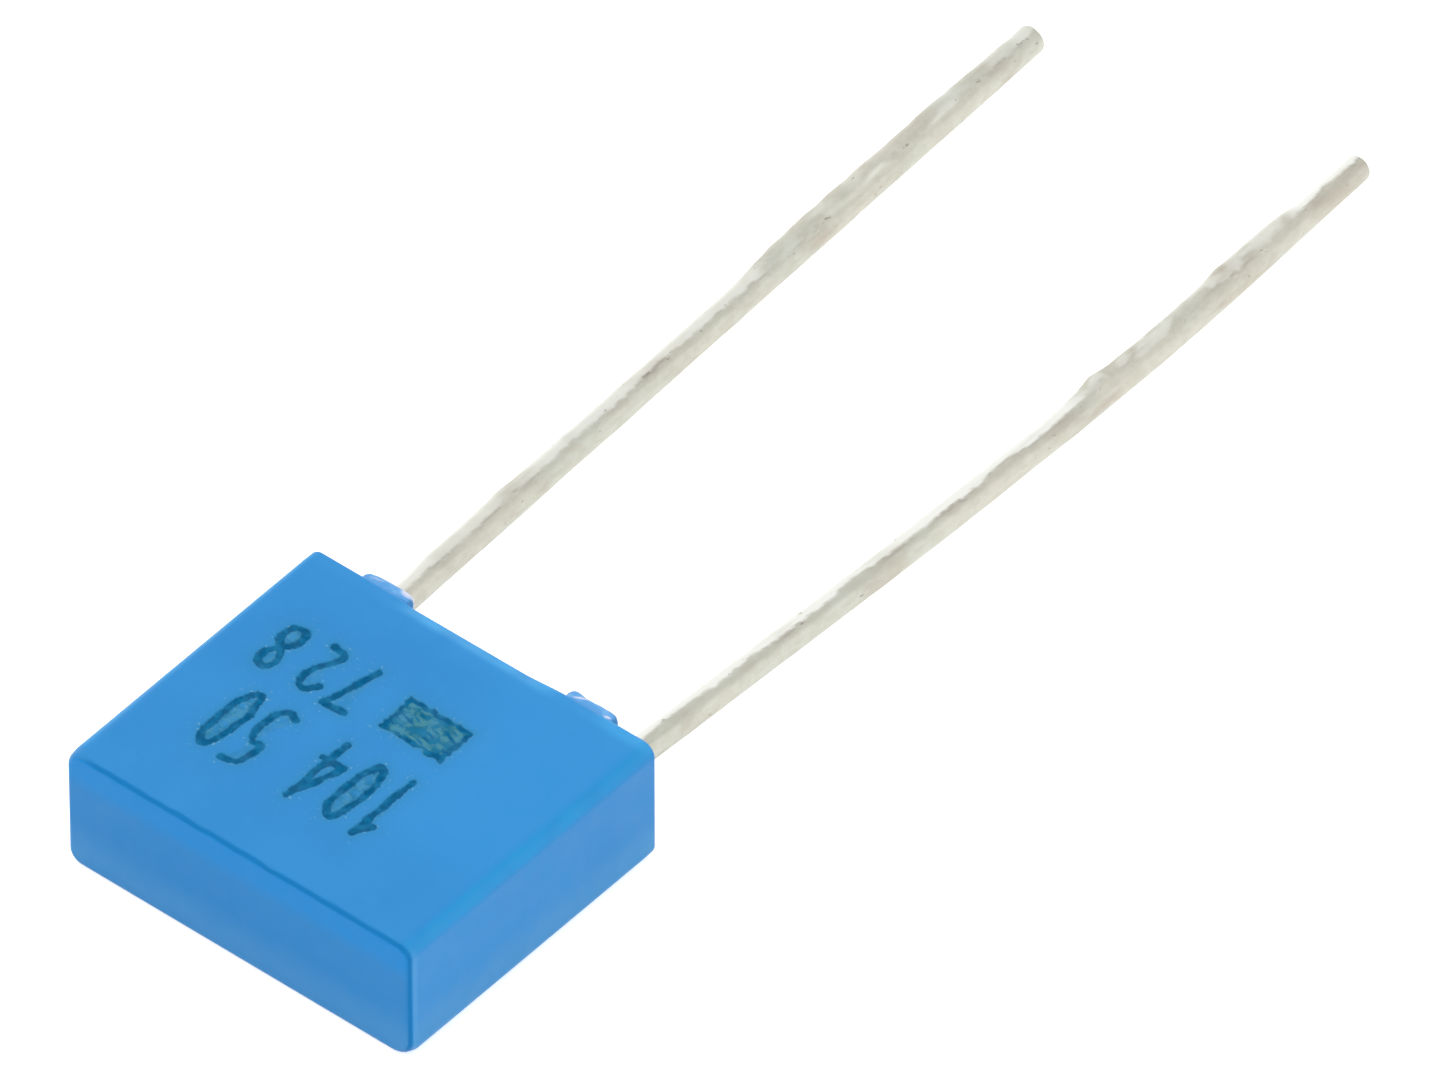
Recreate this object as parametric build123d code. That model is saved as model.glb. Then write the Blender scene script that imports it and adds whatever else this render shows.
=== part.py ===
"""Boxed film capacitor with two straight wire leads.

A moulded case, open on the side that faces the circuit board, holds a block of
metallised film. Each end of the block carries a sprayed metal contact with a
tinned wire welded along it, and cast resin closes the case around the wires.

The part lies on one broad face. X runs along the case, Y from its closed end
towards the tips of the leads, and Z through its thickness. The origin is the
centre of the broad face that it lies on. Sizes are in millimetres and degrees.
"""

import os
from math import cos, radians, sin, tan

from build123d import *

# Case moulding
case_length = 7.3
case_depth = 6.2  # along Y, without the stand-off pads
case_thickness = 2.5
end_wall = 0.45
broad_wall = 0.45
closed_wall = 0.5
long_edge_radius = 0.27
closed_edge_radius = 0.1
rim_edge_radius = 0.08
cavity_corner_radius = 0.25
cavity_floor_radius = 0.15
cavity_draft = 0.8

# Stand-off pads, two on each broad wall, that hold the rim off the board
pad_length = 1.1
pad_height = 0.3
pad_setback = 0.12  # from the outer face of its wall
pad_inboard = 0.45  # from the axis of the lead beside it to its middle
pad_edge_radius = 0.13
pad_corner_radius = 0.15

# Ribs on the cavity floor that carry the film block
rib_height = 0.25
rib_width = 0.4
rib_inset = 0.9  # from the end of the film block to the middle of a rib

# Film block and its sprayed contacts
spray_thickness = 0.4
spray_edge_radius = 0.1
weld_depth = 0.12  # how far the wire is sunk into the contact
block_shift = 0.09  # of the block towards +X, as it was potted

# Leads: straight past the pads, then splayed. A lean is outward from +Y.
wire_diameter = 0.5
tip_radius = 0.06
foot_height = 0.45  # from the lower end of the film block to the inner end of a lead
bend_clearance = 0.3  # from the top of the pads to the first bend
first_bend_radius = 2.0
second_bend_radius = 150.0
third_bend_radius = 80.0
left_free_length = 17.45
left_lean_angle = 2.15
right_first_length = 6.0
right_first_lean_angle = 2.9
right_second_length = 6.5
right_second_lean_angle = 1.65
right_last_length = 6.0
right_last_lean_angle = -2.3

# Cast resin, and the collar of it that creeps up each lead
resin_side_cover = 0.25  # between a lead and the cavity's end wall, at the floor
resin_broad_cover = 0.12  # between the film block and a broad wall, at the floor
resin_top_cover = 0.75
resin_recess = 0.2  # below the rim
creep_height = 0.14
creep_width = 0.16
creep_lip = 0.03  # thickness of the collar at its upper end
creep_root = 0.1  # how deep it is rooted in the resin

# Places that follow from these sizes
closed_end_y = -case_depth / 2
rim_y = case_depth / 2
mid_z = case_thickness / 2
floor_y = closed_end_y + closed_wall
resin_y = rim_y - resin_recess
block_bottom_y = floor_y + rib_height
block_top_y = resin_y - resin_top_cover

cavity_length = case_length - 2 * end_wall
cavity_thickness = case_thickness - 2 * broad_wall
draft_loss = 2 * (rim_y - floor_y) * tan(radians(cavity_draft))

wire_radius = wire_diameter / 2
block_depth = block_top_y - block_bottom_y
block_thickness = cavity_thickness - draft_loss - 2 * resin_broad_cover
lead_pitch = cavity_length - draft_loss - 2 * (resin_side_cover + wire_radius)
contact_face_x = lead_pitch / 2 - wire_radius + weld_depth
film_length = 2 * (contact_face_x - spray_thickness)

left_runs = ((left_free_length, left_lean_angle),)
right_runs = (
    (right_first_length, right_first_lean_angle),
    (right_second_length, right_second_lean_angle),
    (right_last_length, right_last_lean_angle),
)


def section_plane(y):
    """A plane across the case at y, with its normal towards the leads."""
    return Plane(origin=(0, y, mid_z), x_dir=(1, 0, 0), z_dir=(0, 1, 0))


def block(x_size, y_low, y_high, z_size, x_mid=0.0, z_mid=mid_z):
    """A plain box between two heights along Y."""
    middle = Pos(x_mid, (y_low + y_high) / 2, z_mid)
    return middle * Box(x_size, y_high - y_low, z_size)


def outer_case():
    """The case's outside as a solid bar with moulded edges."""
    outline = RectangleRounded(case_length, case_thickness, long_edge_radius)
    bar = extrude(section_plane(closed_end_y) * outline, case_depth)
    bar = fillet(bar.edges().group_by(Axis.Y)[0], closed_edge_radius)
    return fillet(bar.edges().group_by(Axis.Y)[-1], rim_edge_radius)


def stand_off_pads():
    """Four low pads that grow out of the broad walls, beside the leads."""
    thickness = broad_wall - pad_setback
    x_mid = lead_pitch / 2 - pad_inboard
    z_mid = mid_z - pad_setback - thickness / 2
    pads = []
    for x_side in (-1, 1):
        for z_side in (-1, 1):
            root_y = rim_y - rim_edge_radius
            pad = block(
                pad_length, root_y, rim_y + pad_height, thickness,
                x_side * x_mid, mid_z + z_side * z_mid,
            )
            pad = fillet(pad.edges().filter_by(Axis.Y), pad_corner_radius)
            pads.append(fillet(pad.edges().group_by(Axis.Y)[-1], pad_edge_radius))
    return pads


def cavity():
    """The space left by the mould's core: it narrows towards a rounded floor."""
    mouth = RectangleRounded(cavity_length, cavity_thickness, cavity_corner_radius)
    core = extrude(section_plane(rim_y) * mouth, -(rim_y - floor_y), taper=cavity_draft)
    return fillet(core.edges().group_by(Axis.Y)[0], cavity_floor_radius)


def seating_ribs():
    """Two low ribs across the cavity floor, trimmed to the cavity."""
    spacing = film_length - 2 * rib_inset
    ribs = [
        block(rib_width, floor_y, block_bottom_y, case_thickness, side * spacing / 2)
        for side in (-1, 1)
    ]
    return [rib & cavity() for rib in ribs]


def potting_space():
    """What is open inside the moulding."""
    space = cavity()
    for rib in seating_ribs():
        space -= rib
    return space


def case():
    """The moulding: outside, pads, ribs and cavity in one piece."""
    body = outer_case()
    for pad in stand_off_pads():
        body += pad
    return body - potting_space()


def lead_x(side):
    """Where a lead's straight part stands along X."""
    return block_shift + side * lead_pitch / 2


def film_stack():
    """The block of metallised film."""
    return block(film_length, block_bottom_y, block_top_y, block_thickness, block_shift)


def lead_path(side, runs):
    """A lead's centre line: straight up its contact and past the pads, then splayed.

    side is -1 for the lead towards -X and 1 for the one towards +X.
    """
    x = lead_x(side)
    y = rim_y + pad_height + bend_clearance
    points = [(x, block_bottom_y + foot_height, mid_z), (x, y, mid_z)]
    for length, lean in runs:
        x += side * length * sin(radians(lean))
        y += length * cos(radians(lean))
        points.append((x, y, mid_z))
    radii = [first_bend_radius, second_bend_radius, third_bend_radius]
    return FilletPolyline(*points, radius=radii[: len(runs)])


def lead(side, runs):
    """A round wire along its path, with its cut tip broken."""
    path = lead_path(side, runs)
    wire = sweep(Plane(origin=path @ 0, z_dir=path % 0) * Circle(wire_radius), path=path)
    return fillet(wire.edges().sort_by(Axis.Y)[-1], tip_radius)


def metal_spray(side, wire):
    """The sprayed contact on one end of the film, with the groove of its wire."""
    x_mid = block_shift + side * (contact_face_x - spray_thickness / 2)
    contact = block(spray_thickness, block_bottom_y, block_top_y, block_thickness, x_mid)
    outer_face = contact.faces().sort_by(Axis.X)[-1 if side > 0 else 0]
    return fillet(outer_face.edges(), spray_edge_radius) - wire


def creep_ring(side):
    """The collar of resin round a lead where it leaves the surface."""
    foot = wire_radius + creep_width
    lip = wire_radius + creep_lip
    middle = (lip + 0.3 * (foot - lip), 0.3 * creep_height)
    outline = [
        Line((0, -creep_root), (foot, -creep_root)),
        Line((foot, -creep_root), (foot, 0)),
        ThreePointArc((foot, 0), middle, (lip, creep_height)),
        Line((lip, creep_height), (0, creep_height)),
        Line((0, creep_height), (0, -creep_root)),
    ]
    ring = revolve(make_face(outline), Axis.Y)
    return Pos(lead_x(side), resin_y, mid_z) * ring


def potting_resin(inner_pieces):
    """Resin that fills what the case and the pieces inside it leave open."""
    above = block(case_length, resin_y, rim_y + pad_height, case_thickness)
    resin = potting_space() - above
    resin += creep_ring(-1)
    resin += creep_ring(1)
    for piece in inner_pieces:
        resin -= piece
    return resin


def main():
    lead_left = lead(-1, left_runs)
    lead_right = lead(1, right_runs)
    pieces = {
        "film_stack": film_stack(),
        "metal_spray_left": metal_spray(-1, lead_left),
        "metal_spray_right": metal_spray(1, lead_right),
        "lead_left": lead_left,
        "lead_right": lead_right,
    }
    pieces["potting_resin"] = potting_resin(list(pieces.values()))
    pieces["case"] = case()
    os.makedirs("parts", exist_ok=True)
    for name, piece in pieces.items():
        export_step(piece, f"parts/{name}.step")
    print(f"lead pitch {lead_pitch:.2f}, film {film_length:.2f} x {block_depth:.2f}")


main()
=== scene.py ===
"""Boxed film capacitor: looks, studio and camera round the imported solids."""

import math

import bmesh
import bpy
import numpy as np
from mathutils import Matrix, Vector


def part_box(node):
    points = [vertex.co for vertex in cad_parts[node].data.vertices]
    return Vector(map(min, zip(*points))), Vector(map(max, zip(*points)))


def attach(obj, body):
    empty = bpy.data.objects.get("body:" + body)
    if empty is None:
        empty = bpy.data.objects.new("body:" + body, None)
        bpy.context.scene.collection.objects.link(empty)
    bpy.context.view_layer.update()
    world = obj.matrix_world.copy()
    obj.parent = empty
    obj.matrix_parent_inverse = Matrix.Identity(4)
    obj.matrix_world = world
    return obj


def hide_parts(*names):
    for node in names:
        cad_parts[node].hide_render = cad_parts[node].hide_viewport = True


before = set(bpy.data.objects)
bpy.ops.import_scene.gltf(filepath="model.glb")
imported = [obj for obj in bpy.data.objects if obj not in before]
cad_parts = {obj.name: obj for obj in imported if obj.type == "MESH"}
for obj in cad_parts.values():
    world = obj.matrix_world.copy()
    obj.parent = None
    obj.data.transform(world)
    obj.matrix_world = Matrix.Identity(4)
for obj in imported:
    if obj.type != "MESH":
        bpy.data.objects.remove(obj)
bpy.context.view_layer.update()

MM = 0.001

# Case, in millimetres; its outer size and place come from the solid's box
CASE_LOW, CASE_HIGH = (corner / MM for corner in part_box("case"))
HALF_LENGTH = CASE_HIGH.x
HALF_THICKNESS = CASE_HIGH.z / 2
MID_Z = HALF_THICKNESS
CLOSED_END_Y = CASE_LOW.y
PAD_TOP_Y = CASE_HIGH.y
PAD_HEIGHT = 0.3
RIM_Y = PAD_TOP_Y - PAD_HEIGHT
END_WALL = 0.45
BROAD_WALL = 0.45
CLOSED_WALL = 0.5
LONG_EDGE_RADIUS = 0.27
CLOSED_EDGE_RADIUS = 0.1
RIM_EDGE_RADIUS = 0.08
CAVITY_CORNER_RADIUS = 0.25
CAVITY_FLOOR_RADIUS = 0.15
CAVITY_DRAFT = math.tan(math.radians(0.8))
MOUTH_EDGE_RADIUS = 0.03
FLOOR_Y = CLOSED_END_Y + CLOSED_WALL
CAVITY_HALF_X, CAVITY_HALF_Z = HALF_LENGTH - END_WALL, HALF_THICKNESS - BROAD_WALL
SINK_DEPTH = 0.077  # of the upper and lower rim edges between the pads
SINK_REACH = 0.3  # how far from the rim it begins
SINK_SPAN = (-1.9, -1.5, 0.8, 1.8)  # along X: where it begins, is full, lessens and ends

# Stand-off pads and the ribs on the cavity floor
PAD_LENGTH = 1.1
PAD_THICKNESS = 0.33
PAD_SETBACK = 0.12
PAD_MID_X = 2.17
PAD_CORNER_RADIUS = 0.15
PAD_EDGE_RADIUS = 0.13
PAD_WAVE = 0.008  # unevenness of a pad's top
# How far the tops of the pads fall short, at offsets from their middles along X: those of the
# pads at +X on the upper wall and at -X on the lower one, and those of the other two
CROWNS = {
    1: [(-0.55, 0.03), (-0.45, 0.0), (-0.33, 0.0), (-0.20, 0.035), (-0.05, 0.035), (0.10, 0.02),
        (0.30, 0.02), (0.42, 0.045), (0.50, 0.08), (0.55, 0.12)],
    -1: [(-0.55, 0.10), (-0.45, 0.05), (-0.28, 0.015), (-0.05, 0.0), (0.25, 0.0), (0.42, 0.03),
         (0.50, 0.08), (0.55, 0.14)],
}
# Painted highlights on the upper pads: x, height over the rim, slope, half sizes, strength
GLEAMS = [
    (1.93, 0.15, 0.5, 0.15, 0.026, 1.0), (2.54, 0.075, 0.2, 0.07, 0.03, 1.0),
    (-1.80, 0.22, 0.0, 0.17, 0.11, 0.85), (-2.42, 0.15, 0.25, 0.16, 0.03, 0.35),
]
RIB_WIDTH = 0.4
RIB_SPACING = 2.38
BLOCK_BOTTOM_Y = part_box("film_stack")[0].y / MM

# Leads and resin
WIRE_RADIUS = 0.25
BEND_CLEARANCE = 0.3
BEND_RADII = (2.0, 150.0, 80.0)
LEFT_RUNS = ((17.45, 2.15),)
RIGHT_RUNS = ((6.0, 2.9), (6.5, 1.65), (6.0, -2.3))
# Tin on the leads. It gathered on the side at TIN_SIDE, from +X towards +Z, and a painted highlight
# lies on that side. shine is how bright that highlight is, border how squarely a place must face
# that side to get it, and swelling the tin's thickness at places along Y
TIN_SIDE = math.radians(140)
LEFT_TIN = {
    "shine": 0.62, "border": 0.48,
    "swelling": [
        (4.4, 0.0), (4.9, 0.035), (6.2, 0.03), (6.9, 0.05), (7.6, 0.025), (8.2, 0.02), (8.5, 0.035),
        (8.8, 0.02), (9.5, 0.01), (13.3, 0.01), (13.7, 0.045), (14.2, 0.07), (15.0, 0.10), (16.6, 0.10),
        (17.4, 0.08), (18.8, 0.08), (19.8, 0.05), (20.9, 0.035),
    ],
}
RIGHT_TIN = {
    "shine": 1.0, "border": 0.56,
    "swelling": [
        (4.4, 0.0), (5.2, 0.008), (14.0, 0.008), (14.8, 0.05), (15.15, 0.12), (15.6, 0.06),
        (17.6, 0.05), (18.1, 0.06), (18.5, 0.10), (19.2, 0.085), (20.0, 0.06), (20.7, 0.01),
        (21.5, 0.0),
    ],
}
RESIN_Y = RIM_Y - 0.2
CREEP_HEIGHT = 0.14
CREEP_WIDTH = 0.16

# Laser marking on the upper face
STROKE_WIDTH = 0.15
LINE_WANDER = 0.014  # of the lines from their true course
BLOT_SIZE, BLOT_REACH = 0.02, 0.09  # of the wider start of a stroke
HAZE_REACH = 0.12
ETCH_DEPTH = 0.014
MARK_GRID = 0.02  # fineness of the case's grid under the marking
MARK_LOW = (-2.95, -1.85)
MARK_HIGH = (1.75, 2.05)

# Where painted light changes the blue over a face, in metres: a painted sheen along X and along Y,
# then in height painted bounce light near the floor and painted light on the closed end's upper part
SHEEN_X, SHEEN_Y = (0.0002, 0.0018), (-0.0022, -0.0004)
BOUNCE_HEIGHTS, HEAD_HEIGHTS = (0.0011, 0.0003), (0.0017, 0.0021)


# --- Node helpers ---


def is_socket(value):
    return isinstance(value, bpy.types.NodeSocket)


def add(tree, kind, inputs=None, **settings):
    """A new node with its settings, and its sockets set or linked by name or number."""
    node = tree.nodes.new(kind)
    for key, value in settings.items():
        setattr(node, key, value)
    for key, value in (inputs or {}).items():
        if is_socket(value):
            tree.links.new(value, node.inputs[key])
        else:
            node.inputs[key].default_value = value
    return node


def follow(kind, inputs, **settings):
    """A new node in the tree of the sockets that feed it."""
    tree = next(value.id_data for value in inputs.values() if is_socket(value))
    return add(tree, kind, inputs, **settings)


def result(kind, inputs, **settings):
    """The first output of a node that follows."""
    return follow(kind, inputs, **settings).outputs[0]


def feed(node, values):
    """Links values to a node's sockets by name."""
    for name, value in values.items():
        node.id_data.links.new(value, node.inputs[name])


def calc(operation, *values):
    """One number worked out from others."""
    return result("ShaderNodeMath", dict(enumerate(values)), operation=operation)


def times(one, other):
    return calc("MULTIPLY", one, other)


def calc_vector(operation, inputs):
    """One vector worked out from others."""
    return result("ShaderNodeVectorMath", inputs, operation=operation)


def fade(value, start, end, low=0.0, high=1.0):
    """A smooth change from low to high while value goes from start to end."""
    inputs = {"Value": value, "From Min": start, "From Max": end, "To Min": low, "To Max": high}
    return result("ShaderNodeMapRange", inputs, interpolation_type="SMOOTHSTEP")


def noise(place, scale, detail=2.0, rough=0.5):
    inputs = {"Vector": place, "Scale": scale, "Detail": detail, "Roughness": rough}
    return result("ShaderNodeTexNoise", inputs)


def blend(factor, one, other):
    """A colour between two, by a factor."""
    one, other = (colour if is_socket(colour) else (*colour, 1.0) for colour in (one, other))
    return follow("ShaderNodeMix", {0: factor, 6: one, 7: other}, data_type="RGBA").outputs[2]


def layered(colour, *coats):
    """A colour under coats: how much of each shows, and its own colour, from the lowest up."""
    for share, other in coats:
        colour = blend(share, colour, other)
    return colour


def named(tree, name):
    """A number that geometry keeps on its points under a name."""
    return add(tree, "GeometryNodeInputNamedAttribute", {"Name": name}, data_type="FLOAT").outputs[0]


def attribute(tree, name):
    """A number that a mesh keeps under a name, as a material reads it."""
    return add(tree, "ShaderNodeAttribute", attribute_name=name).outputs["Fac"]


def new_material(name, values):
    """A material with its one shader, whose plain values are set on its own sockets."""
    material = bpy.data.materials.new(name)
    material.use_nodes = True
    shader = material.node_tree.nodes["Principled BSDF"]
    for label, value in values.items():
        shader.inputs[label].default_value = value
    return material, material.node_tree, shader


def bump(height, distance):
    inputs = {"Height": height, "Distance": distance, "Strength": 1.0}
    return result("ShaderNodeBump", inputs)


def axis(place, name):
    """One coordinate of a place."""
    return follow("ShaderNodeSeparateXYZ", {"Vector": place}).outputs[name]


def object_place(tree, scale=(1.0, 1.0, 1.0)):
    """Object coordinates, stretched or squeezed along the axes."""
    place = add(tree, "ShaderNodeTexCoord").outputs["Object"]
    return result("ShaderNodeMapping", {"Vector": place, "Scale": scale})


# --- Materials ---


def face_colour(place, mottle, head, noted):
    """Blue polyester, faintly clouded, with painted light: a sheen on the upper face, painted shade on
    the closed end, bounce light near the floor, highlights and a dark line along the edges.
    """
    cloud = noise(place, 420, 3.0, 0.55)
    # Painted sheen: the upper face is a lighter blue towards +X and towards the rim
    right_sheen = times(fade(axis(place, "X"), *SHEEN_X), fade(axis(place, "Y"), *SHEEN_Y))
    right_sheen = times(noted("marked_face"), right_sheen)
    # Painted bounce light: the walls get paler towards the floor
    floor_bounce = fade(axis(place, "Z"), *BOUNCE_HEIGHTS)
    blue = blend(fade(cloud, 0.35, 0.65), (0.005, 0.229, 0.592), (0.008, 0.244, 0.614))
    return layered(
        blue,
        (fade(mottle, 0.5, 0.8, 0.0, 0.35), (0.018, 0.268, 0.634)),
        # painted sheen on the upper face
        (right_sheen, (0.010, 0.256, 0.636)),
        # painted bounce light on the end wall
        (times(noted("end_wall"), floor_bounce), (0.034, 0.278, 0.614)),
        # painted shade: the closed end is a deeper blue
        (times(noted("closed_end"), 0.8), (0.003, 0.222, 0.585)),
        # painted bounce light on the closed end
        (times(noted("closed_end"), floor_bounce), (0.034, 0.275, 0.625)),
        # painted light on the closed end's upper part
        (head, (0.001, 0.252, 0.665)),
        # painted highlight along the long edges
        (noted("long_edge"), (0.004, 0.290, 0.665)),
        # painted sheen band beside the rim
        (noted("rim_band"), (0.030, 0.343, 0.735)),
        # painted dark line on the closed end's rounded edge, standing in for a dark reflection
        (times(noted("edge_line"), 0.92), (0.001, 0.195, 0.520)),
        # painted highlight on the end wall beside the closed edge
        (noted("edge_highlight"), (0.042, 0.305, 0.668)),
    )


def pad_colour(blotch, noted):
    """The pads' blue: deeper on their sides, a painted shade, and pale and blotched on the faces that
    look up, a painted sheen.
    """
    pad_sheen = blend(fade(blotch, 0.40, 0.62), (0.090, 0.350, 0.740), (0.150, 0.430, 0.800))
    return blend(noted("pad_face"), (0.030, 0.215, 0.500), pad_sheen)


def burnt_colour(plastic, blotch, fleck, noted):
    """The laser's work over the plastic: teal haze with sparks, greyer smudges and dark strokes."""
    char = blend(fade(blotch, 0.38, 0.68), (0.001, 0.099, 0.234), (0.006, 0.156, 0.332))
    char = blend(fade(fleck, 0.72, 0.80, 0.0, 0.6), char, (0.100, 0.360, 0.470))
    smudge = blend(fade(blotch, 0.40, 0.60), (0.012, 0.110, 0.146), (0.064, 0.245, 0.305))
    depth = calc("ADD", noted("etch"), calc("MULTIPLY_ADD", fleck, 0.16, -0.08))
    return layered(
        plastic,
        (times(noted("etch_haze"), 0.62), (0.006, 0.215, 0.440)),
        (times(noted("etch_haze"), fade(fleck, 0.63, 0.70, 0.0, 0.65)), (0.210, 0.470, 0.590)),
        (times(noted("etch_fill"), fade(blotch, 0.35, 0.60, 0.6, 1.0)), smudge),
        (fade(depth, 0.12, 0.72), char),
    )


def case_mirroring(head, noted):
    """How strongly the case mirrors: less in the marking, along its edges and at its closed end."""
    marked = calc("MAXIMUM", noted("etch"), noted("etch_fill"))
    dulled = calc("MAXIMUM", times(marked, 0.32), times(noted("edge_line"), 0.2))
    quieter = calc("MULTIPLY_ADD", head, 0.07, times(noted("closed_end"), 0.06))
    return calc("SUBTRACT", 0.33, calc("MAXIMUM", dulled, quieter))


def moulded_blue():
    """Satin moulded polyester: fine spark grain, painted highlights and a painted dark line along its
    edges, and the laser's teal char.
    """
    material, tree, shader = new_material("moulded_blue", {"IOR": 1.5})
    place = object_place(tree)
    mottle = noise(place, 2600, 3.0, 0.6)
    grain = noise(place, 24000, 2.0, 0.6)
    blotch = noise(place, 5200, 2.0, 0.5)
    fleck = noise(place, 12000, 2.0, 0.55)

    def noted(name):
        return attribute(tree, name)

    # The closed end's upper part: painted light in its colour, and it mirrors a little less
    head = times(noted("closed_end"), fade(axis(place, "Z"), *HEAD_HEIGHTS))
    colour = face_colour(place, mottle, head, noted)
    colour = blend(noted("pad"), colour, pad_colour(blotch, noted))
    # painted highlights on the upper pads
    colour = blend(noted("gleam"), colour, (0.680, 0.710, 0.880))
    satin = fade(mottle, 0.3, 0.7, 0.40, 0.48)
    satin = calc("SUBTRACT", satin, times(noted("pad"), 0.2))
    satin = calc("ADD", satin, times(noted("etch"), 0.1))
    relief = calc("MULTIPLY_ADD", mottle, 1.5, grain)
    relief = calc("MULTIPLY_ADD", times(fleck, noted("etch")), 5.0, relief)
    feed(shader, {
        "Base Color": burnt_colour(colour, blotch, fleck, noted), "Roughness": satin,
        "Specular IOR Level": case_mirroring(head, noted), "Normal": bump(relief, 0.000001),
    })
    return material


def tinned_wire():
    """Hot-tinned wire: a painted highlight on its upper side with a painted dark line where it ends,
    duller below, with smears and small pits.
    """
    material, tree, shader = new_material("tinned_wire", {"Metallic": 1.0})

    def drawn_out(squeeze, scale, detail, rough):
        return noise(object_place(tree, (1.0, squeeze, 1.0)), scale, detail, rough)

    streak = drawn_out(0.06, 9000, 3.0, 0.6)
    smear = drawn_out(0.3, 2600, 3.0, 0.55)
    warm = drawn_out(0.35, 1200, 2.0, 0.5)
    pit = drawn_out(0.5, 11000, 2.0, 0.55)
    patch = drawn_out(0.6, 6500, 3.0, 0.6)
    # The painted highlight and the painted dark line at its edge
    bright, shade_line = attribute(tree, "tin_highlight"), attribute(tree, "tin_shade_line")
    pits = calc("MULTIPLY_ADD", shade_line, 0.10, pit)

    dull = blend(fade(warm, 0.38, 0.62), (0.558, 0.545, 0.475), (0.543, 0.552, 0.488))
    # The colour of the painted highlight
    lit_smears = fade(smear, 0.55, 0.75, 0.0, 0.5)
    lit_tin = blend(lit_smears, (0.790, 0.800, 0.755), (0.660, 0.655, 0.590))
    tin = layered(
        dull,
        (fade(patch, 0.40, 0.62, 0.0, 0.7), (0.505, 0.497, 0.425)),
        (fade(smear, 0.50, 0.74, 0.0, 0.7), (0.485, 0.445, 0.380)),
        # painted highlight on the upper side
        (bright, lit_tin),
        # painted dark line where the painted highlight ends
        (times(shade_line, fade(smear, 0.40, 0.62)), (0.420, 0.395, 0.345)),
        (fade(streak, 0.52, 0.8, 0.0, 0.3), (0.550, 0.540, 0.480)),
        (fade(pits, 0.69, 0.76, 0.0, 0.6), (0.290, 0.260, 0.215)),
    )
    satin = fade(smear, 0.35, 0.75, 0.50, 0.60)
    satin = calc("SUBTRACT", satin, times(bright, 0.1))
    relief = calc("MULTIPLY_ADD", smear, 3.0, streak)
    relief = calc("SUBTRACT", relief, fade(pits, 0.68, 0.8, 0.0, 2.0))
    feed(shader, {"Base Color": tin, "Roughness": satin, "Normal": bump(relief, 0.000005)})
    return material


def cast_resin():
    """Poured epoxy: glossy and faintly clouded, with small pale specks."""
    glossy = {"IOR": 1.55, "Coat Weight": 0.3, "Coat Roughness": 0.08}
    material, tree, shader = new_material("cast_resin", glossy)
    cloud = noise(object_place(tree), 900, 3.0, 0.55)
    speck = noise(object_place(tree), 9000, 2.0, 0.6)
    colour = blend(fade(cloud, 0.35, 0.7), (0.012, 0.130, 0.360), (0.022, 0.175, 0.440))
    colour = blend(fade(speck, 0.68, 0.76, 0.0, 0.5), colour, (0.10, 0.30, 0.50))
    satin = fade(cloud, 0.3, 0.7, 0.14, 0.24)
    feed(shader, {"Base Color": colour, "Roughness": satin, "Normal": bump(cloud, 0.00001)})
    return material


def wound_film():
    """Many thin metallised layers seen from their edges."""
    material, tree, shader = new_material("wound_film", {"Roughness": 0.38})
    place = object_place(tree)
    inputs = {"Vector": place, "Scale": 9000.0, "Distortion": 0.6, "Detail": 1.0}
    layers = follow("ShaderNodeTexWave", inputs, bands_direction="Z").outputs[1]
    cloud = noise(place, 1500, 2.0)
    colour = blend(fade(layers, 0.2, 0.8), (0.36, 0.37, 0.40), (0.62, 0.63, 0.65))
    colour = blend(fade(cloud, 0.4, 0.7, 0.0, 0.3), colour, (0.50, 0.48, 0.44))
    metal = fade(layers, 0.2, 0.8, 0.2, 0.6)
    feed(shader, {"Base Color": colour, "Metallic": metal, "Normal": bump(layers, 0.000004)})
    return material


def sprayed_zinc():
    """Flame-sprayed zinc: dull, grainy and dark between the grains."""
    material, tree, shader = new_material("sprayed_zinc", {"Metallic": 0.85, "Roughness": 0.62})
    place = object_place(tree)
    grain = noise(place, 14000, 4.0, 0.7)
    splat = result("ShaderNodeTexVoronoi", {"Vector": place, "Scale": 9000.0})
    colour = blend(fade(grain, 0.35, 0.7), (0.24, 0.24, 0.25), (0.50, 0.50, 0.50))
    colour = blend(fade(splat, 0.3, 0.9, 0.0, 0.5), colour, (0.16, 0.16, 0.17))
    feed(shader, {"Base Color": colour, "Normal": bump(calc("SUBTRACT", grain, splat), 0.00001)})
    return material


def studio_floor():
    """A pale sweep: white to the eye and in reflections, and it keeps the object's shadow."""
    material, tree, shader = new_material("studio_floor", {
        "Roughness": 0.9, "Base Color": (0.9, 0.9, 0.9, 1.0), "Emission Color": (1.0, 1.0, 1.0, 1.0),
    })
    path = add(tree, "ShaderNodeLightPath")
    seen = calc("MAXIMUM", path.outputs["Is Camera Ray"], path.outputs["Is Glossy Ray"])
    seen = calc("MAXIMUM", seen, path.outputs["Is Transmission Ray"])
    feed(shader, {"Emission Strength": times(seen, 0.59)})
    return material


# --- Mesh helpers ---


def metres(points):
    """Points in metres, from points in millimetres."""
    return [tuple(c * MM for c in point) for point in points]


def add_object(name, data):
    """A new object in the scene."""
    thing = bpy.data.objects.new(name, data)
    bpy.context.scene.collection.objects.link(thing)
    return thing


def new_object(name, vertices, faces):
    """An object from points in millimetres."""
    mesh = bpy.data.meshes.new(name)
    mesh.from_pydata(metres(vertices), [], faces)
    return add_object(name, mesh)


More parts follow.
